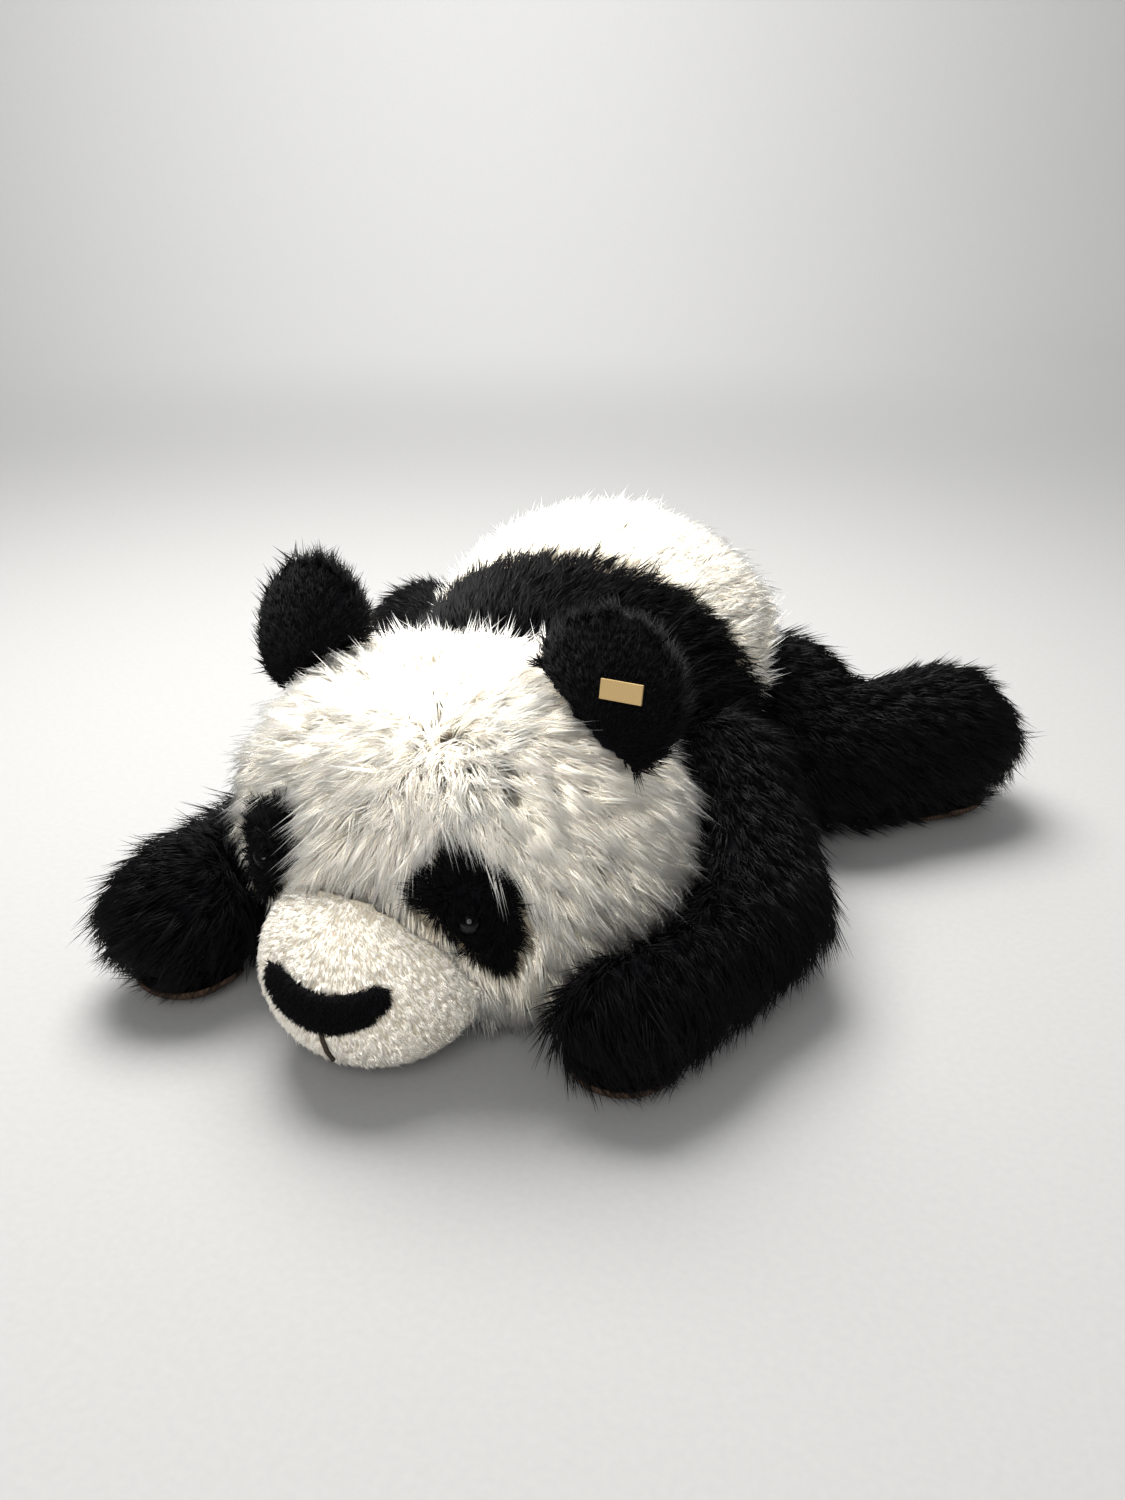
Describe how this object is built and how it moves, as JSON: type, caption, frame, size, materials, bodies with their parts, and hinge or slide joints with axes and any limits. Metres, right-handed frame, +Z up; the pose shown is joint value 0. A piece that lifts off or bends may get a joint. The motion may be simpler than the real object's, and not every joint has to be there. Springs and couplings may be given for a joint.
{
  "type": "plush panda",
  "caption": "Soft stuffed panda lying on its belly with its legs spread and its chin on the ground.",
  "frame": {"origin": "on the ground, under the middle of the toy's outer box", "axes": "+X towards the panda's left, +Y from its nose to its rear, +Z up"},
  "size_m": [0.494, 0.4874, 0.2131],
  "materials": {
    "white_long_pile": "long woven pile",
    "cream_short_pile": "short velvety pile",
    "black_long_pile": "long woven pile",
    "black_short_pile": "short velvety pile",
    "pad_fabric": "brushed knit",
    "fibre_filling": "loose polyester fibre",
    "mouth_thread": "twisted thread",
    "cotton_tape": "woven tape",
    "eye_plastic": "polished",
    "washer_plastic": "moulded"
  },
  "bodies": {
    "torso": {"torso_filling": "fibre_filling", "shoulder_band_cover": "black_long_pile", "rump_cover_left": "white_long_pile", "rump_cover_right": "white_long_pile", "belly_panel": "black_long_pile"},
    "neck": {"neck_cover": "black_long_pile"},
    "head": {"head_filling": "fibre_filling", "muzzle_filling": "fibre_filling", "crown_cover": "white_long_pile", "cheek_cover_left": "white_long_pile", "cheek_cover_right": "white_long_pile", "chin_cover": "white_long_pile", "muzzle_cover": "cream_short_pile", "nose_patch": "black_short_pile", "mouth_stitch": "mouth_thread", "eye_patch_left": "black_short_pile", "eye_patch_right": "black_short_pile", "eye_left": "eye_plastic", "eye_right": "eye_plastic", "eye_washer_left": "washer_plastic", "eye_washer_right": "washer_plastic"},
    "ear_left": {"ear_front_left": "black_short_pile", "ear_back_left": "black_long_pile", "ear_tag": "cotton_tape"},
    "ear_right": {"ear_front_right": "black_short_pile", "ear_back_right": "black_long_pile"},
    "foreleg_left": {"foreleg_filling_left": "fibre_filling", "foreleg_top_left": "black_long_pile", "foreleg_under_left": "black_long_pile", "paw_pad_left": "pad_fabric"},
    "foreleg_right": {"foreleg_filling_right": "fibre_filling", "foreleg_top_right": "black_long_pile", "foreleg_under_right": "black_long_pile", "paw_pad_right": "pad_fabric"},
    "hind_leg_left": {"hind_leg_filling_left": "fibre_filling", "hind_leg_top_left": "black_long_pile", "hind_leg_under_left": "black_long_pile", "foot_pad_left": "pad_fabric"},
    "hind_leg_right": {"hind_leg_filling_right": "fibre_filling", "hind_leg_top_right": "black_long_pile", "hind_leg_under_right": "black_long_pile", "foot_pad_right": "pad_fabric"},
    "tail": {"tail_cover": "white_long_pile", "tail_filling": "fibre_filling"}
  },
  "joints": [
    {"name": "head_turn", "type": "hinge", "parent": "torso", "child": "neck", "pos_m": [0.00209, -0.00738, 0.092], "axis": [0, 0, 1], "range_deg": [-4, 4], "stiffness_Nm_per_rad": 6},
    {"name": "head_nod", "type": "hinge", "parent": "neck", "child": "head", "pos_m": [0.00209, -0.00738, 0.092], "axis": [-1, 0, 0], "range_deg": [0, 16], "stiffness_Nm_per_rad": 6},
    {"name": "foreleg_left_swing", "type": "hinge", "parent": "torso", "child": "foreleg_left", "pos_m": [0.09809, 0.00362, 0.07], "axis": [0, 0, 1], "range_deg": [0, 25], "stiffness_Nm_per_rad": 1.5},
    {"name": "foreleg_right_swing", "type": "hinge", "parent": "torso", "child": "foreleg_right", "pos_m": [-0.09391, -0.00738, 0.07], "axis": [0, 0, -1], "range_deg": [0, 25], "stiffness_Nm_per_rad": 1.5},
    {"name": "hind_leg_left_lift", "type": "hinge", "parent": "torso", "child": "hind_leg_left", "pos_m": [0.09309, 0.13762, 0.066], "axis": [0.3762, -0.9266, 0], "range_deg": [0, 20], "stiffness_Nm_per_rad": 1.5},
    {"name": "hind_leg_right_lift", "type": "hinge", "parent": "torso", "child": "hind_leg_right", "pos_m": [-0.11291, 0.13762, 0.066], "axis": [0.5494, 0.8355, 0], "range_deg": [0, 20], "stiffness_Nm_per_rad": 1.5},
    {"name": "ear_left_fold", "type": "hinge", "parent": "head", "child": "ear_left", "pos_m": [0.08491, -0.13021, 0.13598], "axis": [-1, 0, 0], "range_deg": [-12, 18], "stiffness_Nm_per_rad": 0.3},
    {"name": "ear_right_fold", "type": "hinge", "parent": "head", "child": "ear_right", "pos_m": [-0.08268, -0.11849, 0.13598], "axis": [-1, 0, 0], "range_deg": [-12, 18], "stiffness_Nm_per_rad": 0.3},
    {"name": "tail_lift", "type": "hinge", "parent": "torso", "child": "tail", "pos_m": [-0.00991, 0.19862, 0.062], "axis": [1, 0, 0], "range_deg": [-10, 20], "stiffness_Nm_per_rad": 0.2}
  ]
}
